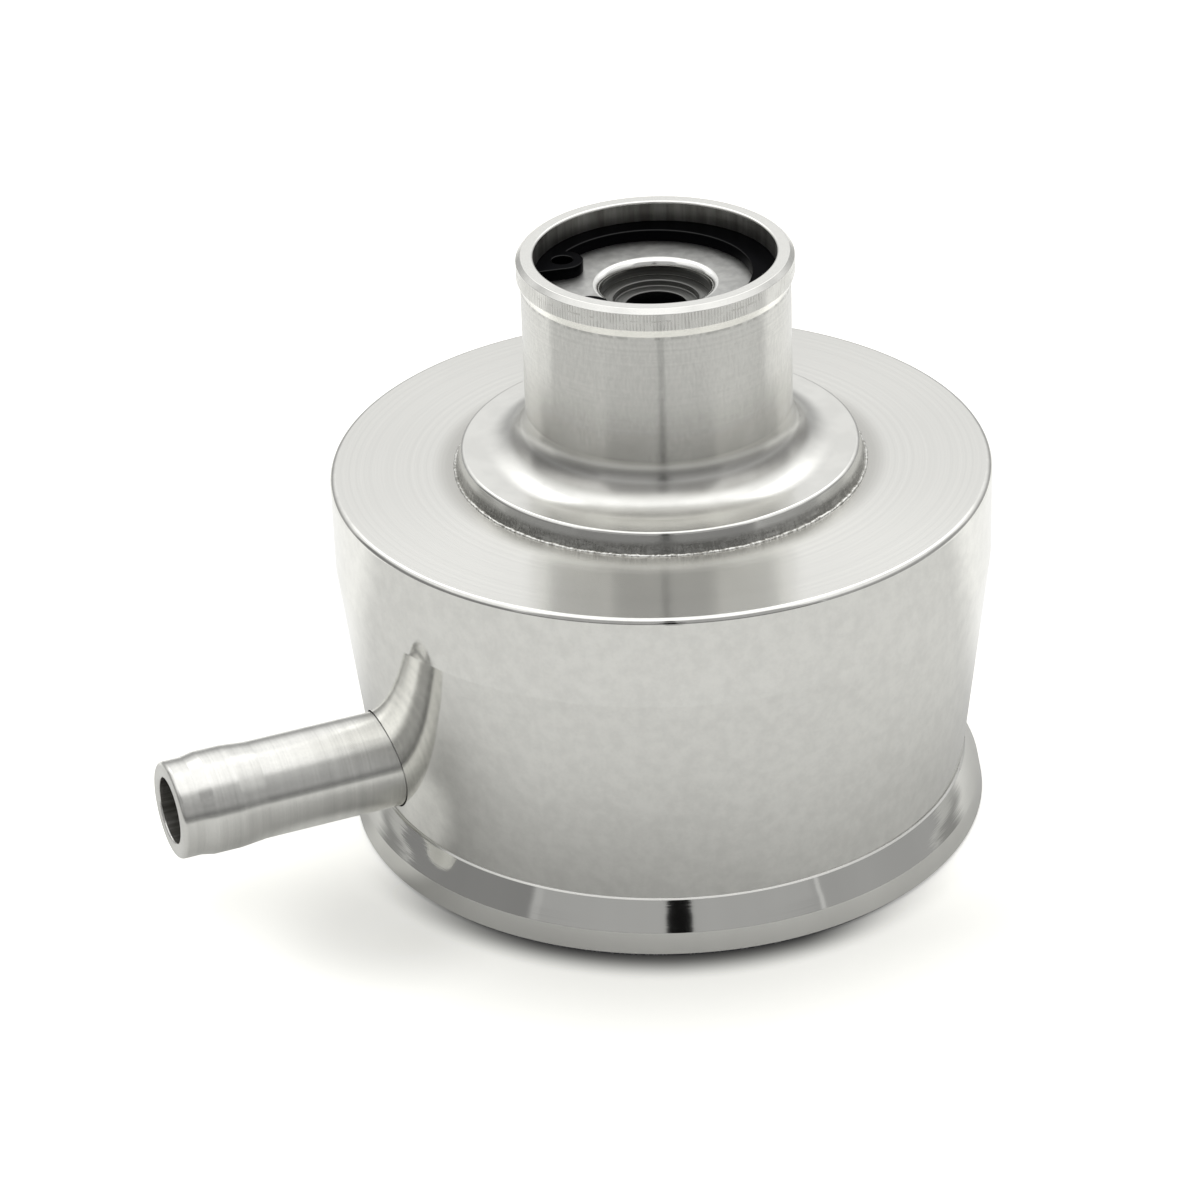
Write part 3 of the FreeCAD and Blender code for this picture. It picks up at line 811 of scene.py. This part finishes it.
class BREATHER_OT_body(bpy.types.Operator):
    """Turn the polished body: foot, taper, band, shoulder, mouth and gas chamber"""

    bl_idname = "breather.body"
    bl_label = "Body"

    def execute(self, context):
        size, finish = context.scene.breather_body, context.scene.breather_finish
        nipple = context.scene.breather_nipple
        wall, shoulder, inside, foot, ledge, cut = range(6)
        bevel = Vector((size.bevel_r - size.foot_r, size.bevel_h - size.foot_h))
        out = Vector((bevel.y, -bevel.x)).normalized()
        crown = Vector((size.foot_r, size.foot_h)) + bevel / 2 + out * size.crown
        crown_round = 0.23 * bevel.length ** 2 / (4 * size.crown)
        corners = [
            (0.0, 0.0, 0, inside),
            (size.base_r - size.chamfer, 0.0, 0.1 * MM, cut),
            (size.base_r, size.chamfer, 0.12 * MM, foot),
            (size.foot_r, size.foot_h, 0.12 * MM, foot),
            (crown.x, crown.y, crown_round, foot),
            (size.bevel_r, size.bevel_h, 0.04 * MM, ledge),
            (size.crease_r, size.crease_h, 0.08 * MM, wall),
            (size.radius, size.height - size.band_h, 1.0 * MM, wall),
            (size.radius, size.height, size.edge, shoulder, wall),
            (size.mouth_r, size.height, 0, inside),
            (size.mouth_r, size.height - size.mouth_h, 0, inside),
            (size.chamber_r, size.height - size.mouth_h, 0, inside),
            (size.chamber_r, size.floor_t, 2.0 * MM, inside),
            (0.0, size.floor_t, 0, inside),
        ]
        spans = [span for span in rounded(corners, 10) if span[0][0].x > 0 or span[1][0].x > 0]
        hole_z = (NIPPLE_LOW.z + NIPPLE_HIGH.z) / 2
        seat_r, seat_end = nipple.tube_r + nipple.joint, -NIPPLE_HIGH.x
        skin = Skin()
        edges = []
        for span in spans:
            low, high = sorted((span[0][0].y, span[1][0].y))
            if not low < hole_z < high:
                revolve(skin, [span])
                continue
            hole_r, margin = (seat_r, 0.5 * MM) if span[2] == wall else (nipple.bore_r, 0.3 * MM)
            z_low = max(low + 0.1 * MM, hole_z - hole_r - margin)
            edges.append(pierce(skin, span, z_low, hole_z + hole_r + 1.0 * MM, hole_z, hole_r))
        self.line_hole(skin, *edges, hole_z, seat_r, nipple.bore_r, -seat_end, inside)
        looks = (polished_wall, turned_shoulder, shaded_bored_inside, turned_foot, buffed_ledge, shaded_cut_chamfer)
        piece = skin.make("polished_body", finish, *looks)
        fit(piece, "breather_body")
        return {"FINISHED"}

    def line_hole(self, skin, outer, inner, hole_z, seat_r, passage_r, seat_x, finish):
        """Seat, step and passage from the wall's outside to the chamber."""
        def inward(point):
            return -Vector((0, point.y, point.z - hole_z)).normalized()

        def outward(_):
            return Vector((-1, 0, 0))

        def join(low, high, normal):
            skin.band(*[[(point, normal(point)) for point in ring] for ring in (low, high)], finish)

        bottom = Vector((seat_x, 0, hole_z))
        seat = [bottom - inward(point) * seat_r for point in outer]
        step = [bottom - inward(point) * passage_r for point in outer]
        join(outer, seat, inward)
        join(seat, step, outward)
        join(step, inner, inward)


class BREATHER_OT_burr(bpy.types.Operator):
    """Raise the ragged burr that pressing the neck in has left round the body's mouth"""

    bl_idname = "breather.burr"
    bl_label = "Burr"

    def execute(self, context):
        size, finish = context.scene.breather_body, context.scene.breather_finish
        chance = random.Random(11)
        steps, sides = 960, 6
        sunk = 0.02 * MM
        swell = 0.5
        rings = []
        for turn in circle(steps):
            swell = 0.7 * swell + 0.3 * chance.random()
            out = towards(turn)
            wide, tall = size.burr * (0.4 + 0.5 * swell), size.burr * (0.35 + 1.2 * swell)
            shift = size.burr * (0.3 * chance.random() - 0.1)
            middle = out * (size.mouth_r + shift) + UP * (size.height - sunk)
            ring = []
            for side in range(sides + 1):
                lean = math.pi * side / sides
                across, rise = math.cos(lean), math.sin(lean)
                normal = (out * across + UP * (rise + 0.2)).normalized()
                ring.append((middle + out * wide * across + UP * tall * rise, normal))
            rings.append(ring)
        skin = Skin()
        for ring, following in zip(rings, rings[1:] + rings[:1]):
            skin.band(ring, following)
        piece = skin.make("mouth_burr", finish, torn_burr)
        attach(piece, "housing")
        return {"FINISHED"}


class BREATHER_OT_neck(bpy.types.Operator):
    """Turn the neck insert: plug, boss, hollow, neck, bead, bore and groove"""

    bl_idname = "breather.neck"
    bl_label = "Neck insert"

    def execute(self, context):
        size, finish = context.scene.breather_neck, context.scene.breather_finish
        shoulder = BODY_HIGH.z
        low, rim, seat = NECK_LOW.z, NECK_HIGH.z, DISC_LOW.z
        lead, gap = 0.6 * MM, 0.05 * MM
        inside, side, boss, neck, bead, face, edge = range(7)
        corners = [
            (size.orifice_r, low, 0, inside),
            (size.plug_r - lead, low, 0, inside),
            (size.plug_r, low + lead, 0, inside),
            (size.plug_r, shoulder, 0, side),
            (size.boss_r, shoulder + size.boss_h, 0.4 * MM, boss, edge),
            (size.neck_r, shoulder + size.boss_h, size.hollow, neck, boss),
            (size.neck_r, rim - size.bead_h - size.bead_ramp, 0.12 * MM, face),
            (size.bead_r, rim - size.bead_h, 0.12 * MM, bead, face),
            (size.bead_r, rim - size.rim_chamfer, 0.08 * MM, face),
            (size.bead_r - size.rim_chamfer, rim, 0.08 * MM, face),
            (size.mouth_r, rim, 0.25 * MM, inside, face),
            (size.mouth_r, RING_HIGH.z + gap, 0, inside),
            (size.groove_r, RING_HIGH.z + gap, 0, inside),
            (size.groove_r, RING_LOW.z - gap, 0, inside),
            (size.mouth_r, RING_LOW.z - gap, 0, inside),
            (size.mouth_r, seat, 0, inside),
            (size.valve_bore_r, seat, 0, inside),
            (size.valve_bore_r, low + size.web_t, 0, inside),
            (size.orifice_r, low + size.web_t, 0, inside),
        ]
        skin = Skin()
        revolve(skin, rounded(corners, 12))
        outer = (boss_side, turned_boss, turned_neck, chattered_bead, faced_rim_highlight, polished_wall)
        piece = skin.make("turned_neck", finish, shaded_bored_inside, *outer)
        fit(piece, "neck_insert")
        return {"FINISHED"}


class BREATHER_OT_nipple(bpy.types.Operator):
    """Turn the hose nipple and lay it along -X"""

    bl_idname = "breather.nipple"
    bl_label = "Hose nipple"

    def execute(self, context):
        size, finish = context.scene.breather_nipple, context.scene.breather_finish
        end, tip = -NIPPLE_HIGH.x, -NIPPLE_LOW.x
        front = tip - size.lead - size.ramp
        back = front - size.land
        soft, edge, entry = 1.5 * MM, 0.4 * MM, 0.6 * MM
        outside, inside = range(2)
        corners = [
            (size.bore_r, end, 0, inside),
            (size.tube_r - entry, end, 0, inside),
            (size.tube_r, end + entry, 0, outside),
            (size.tube_r, back - size.back, soft, outside),
            (size.bead_r, back, soft, outside),
            (size.bead_r, front, edge, outside),
            (size.tube_r, tip - size.lead, edge, outside),
            (size.tube_r, tip, 0.45 * MM, outside),
            (size.bore_r, tip, 0.2 * MM, inside, outside),
        ]
        skin = Skin()
        revolve(skin, rounded(corners, 10), 192)
        piece = skin.make("turned_nipple", finish, turned_nipple, shaded_bored_inside)
        axis_z = (NIPPLE_LOW.z + NIPPLE_HIGH.z) / 2
        piece.matrix_world = Matrix.Translation((0, 0, axis_z)) @ Matrix.Rotation(-math.pi / 2, 4, "Y")
        fit(piece, "hose_nipple")
        return {"FINISHED"}


class BREATHER_OT_snap_ring(bpy.types.Operator):
    """Cut the snap ring with its gap, lugs and plier holes"""

    bl_idname = "breather.snap_ring"
    bl_label = "Snap ring"

    def execute(self, context):
        size, finish = context.scene.breather_ring, context.scene.breather_finish
        soft = 0.12 * MM
        splines = [self.outline(size)]
        for side in (1, -1):
            centre = self.polar(size.lug_reach, side * size.lug_angle)
            splines.append([centre + self.polar(size.hole_r, turn) for turn in circle(32)])
        curve = bpy.data.curves.new("snap_ring_outline", "CURVE")
        curve.dimensions = "2D"
        curve.fill_mode = "BOTH"
        curve.extrude = ((RING_HIGH.z - RING_LOW.z) / 2 - soft) / MM
        curve.bevel_depth = soft / MM
        curve.offset = -soft / MM
        curve.bevel_resolution = 2
        for points in splines:
            spline = curve.splines.new("POLY")
            spline.points.add(len(points) - 1)
            spline.use_cyclic_u = True
            for spot, point in zip(spline.points, points):
                spot.co = (point.x / MM, point.y / MM, 0, 1)
        holder = bpy.data.objects.new("snap_ring_curve", curve)
        mesh = bpy.data.meshes.new_from_object(holder)
        bpy.data.objects.remove(holder)
        middle = (RING_HIGH.z + RING_LOW.z) / 2
        turn = Matrix.Rotation(size.turn, 4, "Z")
        mesh.transform(Matrix.Translation((0, 0, middle)) @ turn @ Matrix.Scale(MM, 4))
        mesh.materials.clear()
        mesh.materials.append(black_spring_steel(finish))
        mesh.polygons.foreach_set("use_smooth", [True] * len(mesh.polygons))
        mesh.set_sharp_from_angle(angle=math.radians(40))
        piece = bpy.data.objects.new("snap_ring_black", mesh)
        context.scene.collection.objects.link(piece)
        fit(piece, "snap_ring")
        return {"FINISHED"}

    def polar(self, reach, turn):
        """A point at a distance and direction from the ring's centre."""
        return Vector((reach * math.cos(turn), reach * math.sin(turn)))

    def arc(self, middle, radius, start, end, steps):
        """Points along an arc, with both its ends."""
        turns = [start + (end - start) * k / steps for k in range(steps + 1)]
        return [middle + self.polar(radius, turn) for turn in turns]

    def outline(self, size):
        """Outer arc, gap, lug, inner arc and lug again."""
        half = size.gap / 2
        first = math.asin(half / size.outer_r)
        outer = self.arc(Vector((0, 0)), size.outer_r, first, 2 * math.pi - first, 128)
        lug = self.polar(size.lug_reach, size.lug_angle)
        middle = Vector((size.shift, 0))
        reach = (lug - middle).length
        start = -math.asin(min(1.0, (lug.y - half) / size.lug_r))
        meets = (size.inner_r ** 2 - reach ** 2 - size.lug_r ** 2) / (2 * reach * size.lug_r)
        end = math.atan2(lug.y, lug.x - size.shift) + math.acos(meets) - 2 * math.pi
        near = self.arc(lug, size.lug_r, start, end, 24)
        first = math.atan2(near[-1].y, near[-1].x - size.shift)
        inner = self.arc(middle, size.inner_r, first, 2 * math.pi - first, 96)[1:-1]
        far = [Vector((point.x, -point.y)) for point in reversed(near)]
        return outer + list(reversed(near + inner + far))


class BREATHER_OT_valve(bpy.types.Operator):
    """Turn the valve disc with its rolled hole, and the stepped plunger under it"""

    bl_idname = "breather.valve"
    bl_label = "Valve disc and plunger"

    def execute(self, context):
        size, finish = context.scene.breather_neck, context.scene.breather_finish
        stem = context.scene.breather_plunger
        disc_r, soft = DISC_HIGH.x, 0.25 * MM
        disc = Skin()
        revolve(disc, rounded([
            (size.disc_hole_r, DISC_LOW.z, 0.1 * MM, 0),
            (disc_r, DISC_LOW.z, soft, 0),
            (disc_r, DISC_HIGH.z, soft, 0),
            (size.disc_hole_r, DISC_HIGH.z, size.disc_roll, 2, 1),
        ], 16))
        piece = disc.make("zinc_disc", finish, zinc_plate, rolled_zinc_highlight, plain_steel)
        fit(piece, "valve_disc")

        head_r, top, tip = PLUNGER_HIGH.x, PLUNGER_HIGH.z, PLUNGER_LOW.z
        root = NECK_LOW.z + size.web_t + stem.root_h
        edge = 0.12 * MM
        plunger = Skin()
        revolve(plunger, rounded([
            (stem.bleed_r, tip, 0, 0),
            (stem.tip_r, tip, edge, 0),
            (stem.root_r, root, 0, 0),
            (stem.stem_r, root, edge, 0),
            (stem.stem_r, top - stem.head_t, edge, 0),
            (head_r, top - stem.head_t, edge, 0),
            (head_r, top, edge, 0),
            (stem.step_r, top, edge, 0),
            (stem.step_r, top - stem.step_t, edge, 0),
            (stem.hollow_r, top - stem.step_t, edge, 0),
            (stem.hollow_r, top - stem.hollow_t, 0, 0),
            (stem.bleed_r, top - stem.hollow_t, 0, 0),
        ], 8), 160)
        piece = plunger.make("stepped_plunger", finish, plain_steel)
        fit(piece, "valve_plunger", "plunger")
        return {"FINISHED"}


class BREATHER_OT_spring(bpy.types.Operator):
    """Wind the plunger's spring, closed and ground flat at both ends"""

    bl_idname = "breather.spring"
    bl_label = "Plunger spring"

    def execute(self, context):
        size, finish = context.scene.breather_spring, context.scene.breather_finish
        low, high = SPRING_LOW.z, SPRING_HIGH.z
        turns = size.open_coils + 2
        open_rise = (high - low - 2 * size.closed_rise) / size.open_coils
        per_turn, around = 48, 16
        rings = []
        for k in range(turns * per_turn + 1):
            wound = k / per_turn
            opened = min(max(wound - 1, 0), size.open_coils)
            closed = wound - opened
            height = low + closed * size.closed_rise + opened * open_rise
            out = towards(2 * math.pi * wound)
            middle = out * size.radius + UP * height
            ring = []
            for round_wire in circle(around):
                normal = out * math.cos(round_wire) + UP * math.sin(round_wire)
                point = middle + normal * size.wire_r
                point.z = min(max(point.z, low), high)
                ring.append((point, normal))
            rings.append(ring)
        skin = Skin()
        for ring, following in zip(rings, rings[1:]):
            skin.band(ring, following)
        for ring in (rings[0], rings[-1]):
            skin.face(ring)
        piece = skin.make("wound_spring", finish, drawn_wire)
        fit(piece, "plunger_spring")
        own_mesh(piece)
        return {"FINISHED"}


class BREATHER_OT_stage(bpy.types.Operator):
    """Set up the pale floor, the light tent and the camera"""

    bl_idname = "breather.stage"
    bl_label = "Stage"

    def execute(self, context):
        size = context.scene.breather_stage
        context.scene.view_settings.view_transform = "Standard"
        self.add_camera(context, size)
        self.add_floor(context, size)
        self.add_tent(context, size)
        return {"FINISHED"}

    def add_camera(self, context, size):
        """A long lens that looks at the aim point, turned so that the point lies off the middle."""
        data = bpy.data.cameras.new("product_camera")
        data.lens = size.focal
        data.sensor_width = 36.0
        data.clip_start = 0.01
        camera = bpy.data.objects.new("product_camera", data)
        back = Vector((
            math.sin(size.turn) * math.cos(size.rise),
            -math.cos(size.turn) * math.cos(size.rise),
            math.sin(size.rise),
        ))
        focal = size.focal / data.sensor_width * PICTURE_SIDE
        right, down = [(part - PICTURE_SIDE / 2) / focal for part in AIM_PIXEL]
        heading = Vector((right, -down, 1.0)).normalized()
        pan, tilt = math.atan2(heading.x, heading.z), math.asin(heading.y)
        place = Vector((0, 0, size.aim_h)) + back * size.distance
        level = back.to_track_quat("Z", "Y").to_matrix().to_4x4()
        roll = Matrix.Rotation(-size.roll, 4, "Z")
        off_middle = Matrix.Rotation(tilt, 4, "X") @ Matrix.Rotation(-pan, 4, "Y")
        camera.matrix_world = Matrix.Translation(place) @ level @ roll @ off_middle.inverted()
        context.scene.collection.objects.link(camera)
        context.scene.camera = camera

    def add_floor(self, context, size):
        """White paper with painted shadows, with one brightness for the camera and another for the metal
        that reflects it.
        """
        half = size.floor_size / 2
        mesh = bpy.data.meshes.new("paper_floor")
        corners = [(-half, -half, 0), (half, -half, 0), (half, half, 0), (-half, half, 0)]
        mesh.from_pydata(corners, [], [(0, 1, 2, 3)])
        floor = bpy.data.objects.new("paper_floor", mesh)
        material = bpy.data.materials.new("white_paper")
        tree = Tree(material)
        x, y, _ = tree.parts(tree.place())
        ahead, aside = self.turned(size, x, y)
        clear = (x * x + y * y) ** 0.5 - 31.0 * MM

        def spot(across, forward, inner, outer):
            away = ((aside - across * MM) ** 2 + (ahead - forward * MM) ** 2) ** 0.5
            return 1 - tree.ramp(away, inner * MM, outer * MM)

        # The metal sees painted shade and light on the paper: a dim strip under the tent's opening, the
        # painted shadow that the foot casts round itself, darker to the front left, a dull sheen where it
        # looks along the paper, and painted light behind the body and under the nipple.
        lean = abs(aside / ahead - math.tan(size.gap_turn))
        gap = (1 - tree.ramp(lean, 0.035, 0.055)) * tree.ramp(ahead, 100 * MM, 106 * MM)
        facing = tree.node("ShaderNodeLayerWeight", None, {"Blend": 0.5}, output="Facing")
        sheen = tree.ramp(facing, 0.85, 0.92)
        left = (1 - tree.ramp(aside, -25 * MM, 30 * MM)) * tree.ramp(ahead, 0 * MM, 16 * MM)
        near = 1 - tree.ramp(clear, 0.0, 24 * MM)
        behind = 1 - tree.ramp(ahead, -30 * MM, -9 * MM)
        level = (1 - near * (0.16 + 0.15 * left)) * (0.86 + 0.14 * behind)
        level = level * (1 - 0.35 * gap) * (1 - 0.62 * sheen)
        black = (0.0, 0.0, 0.0)
        paper = tree.blend(level, black, (size.paper, size.paper, 0.985 * size.paper))
        # Painted light: the paper glows under the nipple and behind the body, for the metal to reflect.
        painted_light_under_nipple = spot(-33, 13, 3, 9)
        lit = 0.3 * behind + 0.5 * painted_light_under_nipple

        # The camera sees a painted contact shadow where the foot touches the paper, a painted soft shade
        # in front and a painted shadow pool to the front left.
        front = tree.ramp(ahead, 11 * MM, 30 * MM)
        painted_contact_shadow = front * (1 - tree.ramp(clear + 0.02 * abs(aside), 0.35 * MM, 4.55 * MM))
        painted_contact_shadow = painted_contact_shadow * (1 - 0.6 * tree.ramp(aside, 12 * MM, 24 * MM))
        shade_round = front * (1 - tree.ramp(clear, 2.0 * MM, 26.0 * MM))
        shown = (1 - 0.9 * painted_contact_shadow) * (1 - 0.25 * shade_round) * (1 - 0.16 * spot(-28, 25, 3, 14))
        white = tree.blend(shown, black, (1.0, 0.995, 0.95))

        seen = tree.node("ShaderNodeLightPath", output="Is Camera Ray")
        glow = lit + seen * (shown - lit)
        shader = tree.node("ShaderNodeBsdfPrincipled", None, {
            "Base Color": tree.blend(seen, paper, white),
            "Roughness": 1.0,
            "Specular IOR Level": 0.0,
            "Emission Color": tree.blend(glow, black, (1.0, 1.0, 0.97)),
            "Emission Strength": size.glow,
        })
        tree.node("ShaderNodeOutputMaterial", None, {"Surface": shader})
        mesh.materials.append(material)
        context.scene.collection.objects.link(floor)

    def turned(self, size, x, y):
        """Parts of a direction on the floor towards the front of the tent and to its right."""
        front = Vector((math.sin(size.turn), -math.cos(size.turn)))
        return x * front.x + y * front.y, x * -front.y + y * front.x

    def add_tent(self, context, size):
        """A light tent by direction: white to the camera, cloth and openings to everything else."""
        world = bpy.data.worlds.new("light_tent")
        tree = Tree(world)
        x, y, z = tree.parts(tree.node("ShaderNodeTexCoord", output="Generated"))
        ahead, aside = self.turned(size, x, y)
        degree = math.radians(1)
        around = ahead.maths("ARCTAN2", aside, ahead) / degree
        height = z.maths("ARCSINE", z) / degree
        off_front = abs(around)
        right = tree.ramp(around, -20.0, 40.0)

        def stripe(turn, inner, outer):
            return 1 - tree.ramp(abs(around - turn), inner, outer)

        # Grey cloth in front, brighter at the sides, brightest behind and overhead.
        front = tree.ramp(height, 2.0, 17.0, 0.22, 0.50)
        side_low = 0.29 + 0.16 * right
        side = side_low + tree.ramp(height, 18.0, 44.0) * (1.15 - side_low)
        back = tree.ramp(height, 6.0, 30.0, 0.5, 1.13)
        lobes = tree.ramp(off_front, 125.0, 145.0) * (1 - tree.ramp(off_front, 162.0, 176.0))
        back = back + 1.15 * lobes * tree.ramp(height, 26.0, 46.0)
        level = front + tree.ramp(off_front, 49.5, 52.0) * (side - front)
        level = level + tree.ramp(off_front, 117.0, 124.0) * (back - level)
        level = level + tree.ramp(height, 50.0, 68.0) * (1.6 - level)
        level = level + 0.28 * stripe(53.0, 0.4, 1.1) * (1 - tree.ramp(height, 18.0, 22.0))
        level = level + 0.07 * stripe(-48.6, 1.0, 2.0)

        # The opening in front: a round hole for the lens in a slit that runs up the cloth.
        gap_turn, gap_rise = math.degrees(size.gap_turn), math.degrees(size.gap_rise)
        off, up = around - (gap_turn - 0.4), 0.8 * (height - gap_rise)
        opening = 1 - tree.ramp((off * off + up * up) ** 0.5, 4.2, 5.2)
        slit = stripe(gap_turn - 0.9, 1.6, 2.5)
        slit = slit * tree.ramp(height, 1.0, 4.0) * (1 - tree.ramp(height, 52.0, 64.0))
        slit = slit * (1 - 0.5 * tree.ramp(height, 24.0, 28.0) * (1 - tree.ramp(height, 38.0, 44.0)))
        dark = opening.maths("MAXIMUM", opening, slit)
        above = tree.ramp(height, -1.0, 0.5)
        level = (level * (1 - 0.99 * dark)) * above + 0.6 * (1 - above)
        seen = tree.node("ShaderNodeLightPath", output="Is Camera Ray")
        strength = level + seen * (1 - level)
        shader = tree.node("ShaderNodeBackground", None, {"Strength": strength})
        tree.node("ShaderNodeOutputWorld", None, {"Surface": shader})
        context.scene.world = world


class BREATHER_PT_panel(bpy.types.Panel):
    """Buttons for the breather's pieces"""

    bl_idname = "BREATHER_PT_panel"
    bl_label = "Breather"
    bl_space_type = "VIEW_3D"
    bl_region_type = "UI"
    bl_category = "Breather"

    def draw(self, context):
        for step in STEPS:
            self.layout.operator(step.bl_idname)
        for group in GROUPS:
            box = self.layout.box()
            settings = getattr(context.scene, group)
            for name in settings.bl_rna.properties.keys():
                if name not in ("rna_type", "name"):
                    box.prop(settings, name)


GROUPS = {
    "breather_body": BodySizes,
    "breather_neck": NeckSizes,
    "breather_nipple": NippleSizes,
    "breather_plunger": PlungerSizes,
    "breather_ring": RingSizes,
    "breather_spring": SpringSizes,
    "breather_finish": FinishSettings,
    "breather_stage": StageSettings,
}
STEPS = (
    BREATHER_OT_stage,
    BREATHER_OT_body,
    BREATHER_OT_burr,
    BREATHER_OT_neck,
    BREATHER_OT_nipple,
    BREATHER_OT_snap_ring,
    BREATHER_OT_valve,
    BREATHER_OT_spring,
)


def register():
    """Make the settings, operators and panel known to Blender."""
    for name, group in GROUPS.items():
        bpy.utils.register_class(group)
        setattr(bpy.types.Scene, name, bpy.props.PointerProperty(type=group))
    for step in (*STEPS, BREATHER_PT_panel):
        bpy.utils.register_class(step)


def unregister():
    """Take them away again."""
    for step in (BREATHER_PT_panel, *reversed(STEPS)):
        bpy.utils.unregister_class(step)
    for name, group in reversed(GROUPS.items()):
        delattr(bpy.types.Scene, name)
        bpy.utils.unregister_class(group)


def main():
    """Build the stage and every piece."""
    register()
    bpy.ops.breather.stage()
    bpy.ops.breather.body()
    bpy.ops.breather.burr()
    bpy.ops.breather.neck()
    bpy.ops.breather.nipple()
    bpy.ops.breather.snap_ring()
    bpy.ops.breather.valve()
    bpy.ops.breather.spring()


if __name__ == "__main__":
    main()
